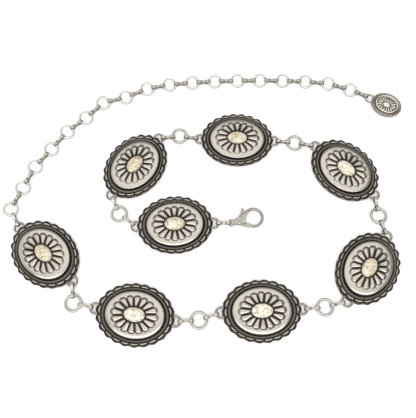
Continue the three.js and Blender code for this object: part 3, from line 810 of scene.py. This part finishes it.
def blended(name, build, voxel, rounds):
    """One soft-edged casting from the overlapping solids that build makes, in millimetres."""
    made = bmesh.new()
    build(made)
    bmesh.ops.recalc_face_normals(made, faces=made.faces)
    rough = bpy.data.meshes.new(name)
    made.to_mesh(rough)
    made.free()
    holder = bpy.data.objects.new(name + " holder", rough)
    bpy.context.scene.collection.objects.link(holder)
    remesh = holder.modifiers.new("cast", "REMESH")
    remesh.mode = "VOXEL"
    remesh.voxel_size = voxel
    soften = holder.modifiers.new("soften", "SMOOTH")
    soften.factor = 0.5
    soften.iterations = rounds
    depsgraph = bpy.context.evaluated_depsgraph_get()
    depsgraph.update()
    mesh = bpy.data.meshes.new_from_object(holder.evaluated_get(depsgraph))
    bpy.data.objects.remove(holder)
    mesh.polygons.foreach_set("use_smooth", [True] * len(mesh.polygons))
    return mesh


def disc(radius, sides=24):
    """A round outline about the rivet's axis."""
    turns = [2 * math.pi * k / sides for k in range(sides)]
    return [(rivet[0] + radius * math.cos(a), rivet[1] + radius * math.sin(a)) for a in turns]


def bored(mesh, radius, depth):
    """The mesh with a round hole for the rivet cut right through it."""
    made = bmesh.new()
    slab(made, disc(radius, 48), -depth, depth)
    bmesh.ops.recalc_face_normals(made, faces=made.faces)
    drill = bpy.data.meshes.new("drill")
    made.to_mesh(drill)
    made.free()
    drill_holder = bpy.data.objects.new("drill holder", drill)
    holder = bpy.data.objects.new("bored holder", mesh)
    for thing in (drill_holder, holder):
        bpy.context.scene.collection.objects.link(thing)
    cut = holder.modifiers.new("bore", "BOOLEAN")
    cut.operation = "DIFFERENCE"
    cut.solver = "EXACT"
    cut.object = drill_holder
    depsgraph = bpy.context.evaluated_depsgraph_get()
    depsgraph.update()
    result = bpy.data.meshes.new_from_object(holder.evaluated_get(depsgraph))
    for thing in (drill_holder, holder):
        bpy.data.objects.remove(thing)
    result.polygons.foreach_set("use_smooth", [True] * len(result.polygons))
    return result


def plated(mesh):
    """The mesh in satin nickel, moved from the clasp's own millimetres to its place."""
    mesh.materials.clear()
    mesh.materials.append(nickel)
    mesh.transform(clasp_lie)
    return mesh


def clasp_solids(made):
    """The two cheeks, the blocks that join them, the hook bar, the eye, and the rivet."""
    cheek = [(1.2, -1.2), (2.4, -1.75), (5, -2.3), (8.6, -2.5), (9.0, -1.6), (9.4, -0.6), (10.0, 0.9),
             (10.65, 2.2), (11.4, 3.4), (12.4, 4.4), (12.3, 5.8), (10.6, 5.45), (9.0, 4.95),
             (7.35, 4.3), (5.0, 2.9), (2.6, 1.5), (1.3, 1.0)]
    slab(made, eased(cheek), 0.85, 1.7)
    slab(made, eased(cheek), -1.7, -0.85)
    slab(made, [(1.2, -1.2), (2.4, -1.75), (3.0, -1.87), (3.0, 1.7), (2.6, 1.5), (1.3, 1.0)], -1.2, 1.2)
    slab(made, [(9.8, 0.5), (10.65, 2.2), (11.4, 3.4), (12.4, 4.4), (12.3, 5.8), (10.6, 5.45), (10.4, 4.4),
                (9.8, 2.6)], -1.2, 1.2)
    arc = [math.radians(-115.5 + 245.5 * k / 48) for k in range(49)]
    tube(made, [(hook_middle + hook_radius * math.cos(a), hook_radius * math.sin(a), 0) for a in arc],
         [0.9 + 0.25 * max(0.0, k / 48 - 0.55) for k in range(49)])
    ring = [2 * math.pi * k / 40 for k in range(40)]
    tube(made, [(2.05 * math.cos(a), 2.05 * math.sin(a), 0) for a in ring], [0.47] * 40, 16, closed=True)
    slab(made, disc(rivet_radius), -1.78, 1.78)
    slab(made, disc(rivet_head), 1.6, 2.0)
    slab(made, disc(rivet_head), -1.72, -1.6)


mesh = blended("clasp casting", clasp_solids, 0.14, 5)
# Each cheek is domed: it falls away on both sides of its spine, but not where the hook bar joins it.
spine_foot = Vector((1.5, -0.3, 0))
spine_way = (Vector((10.8, 2.4, 0)) - spine_foot).normalized()
cheek_end = 13
cheek_inside = 0.9
cheek_reach = 3.2
for corner in mesh.vertices:
    level = abs(corner.co.z)
    if corner.co.x < cheek_end and level > cheek_inside:
        across = abs((corner.co - spine_foot).cross(spine_way).z)
        from_bar = abs(math.hypot(corner.co.x - hook_middle, corner.co.y) - hook_radius)
        clear_of_bar = min(1.0, max(0.0, (from_bar - 0.4) / 1.6))
        fall = 1 - 0.66 * min(1.0, across / cheek_reach) ** 1.7 * clear_of_bar
        corner.co.z = math.copysign(cheek_inside + (level - cheek_inside) * fall, corner.co.z)
show("clasp_casting", plated(mesh), "clasp_body")


# Clasp lever: a stamped plate in the same finish that turns on the rivet, with a thumb tab at the
# top and a gate that closes the hook.
def lever_solids(made):
    """The plate with its thumb tab, the thicker gate, and the round end that meets the hook."""
    outline = [(3.9, -1.4), (4.4, -2.6), (6.6, -3.5), (8.6, -4.6), (10.6, -5.5), (11.95, -5.6),
               (12.6, -4.15), (10.6, -3.1), (8.7, -2), (8.7, -0.3), (8.75, 0.5), (9.25, 2.6), (10, 4.6),
               (10.1, 5.9), (9.85, 7.2), (9.5, 8.1), (9.15, 8.35), (8.8, 8.2), (8.2, 7.1), (7.7, 6),
               (7.4, 4.4), (5.8, 2.1), (4.2, -0.2)]
    slab(made, eased(outline), -0.6, 0.6)
    slab(made, eased([(7.9, -4.1), (9.2, -4.85), (10.6, -5.5), (11.6, -5.75), (12.15, -5.5), (12.45, -4.6),
                      (12.3, -4.05), (11.2, -3.7), (10.2, -3.1), (9.3, -2.75)]), -0.85, 0.85)
    gate = [(9.6, -3.75), (10.2, -4.15), (10.8, -4.5), (11.4, -4.78), (12.0, -5.0)]
    tube(made, [(x, y, 0) for x, y in gate], [0.75, 0.85, 0.88, 0.9, 0.88])


lever_play = 0.25
mesh = bored(blended("lever plate", lever_solids, 0.12, 4), rivet_radius + lever_play, 2.0)
show("clasp_thumb_lever", plated(mesh), "clasp_lever", "lever")
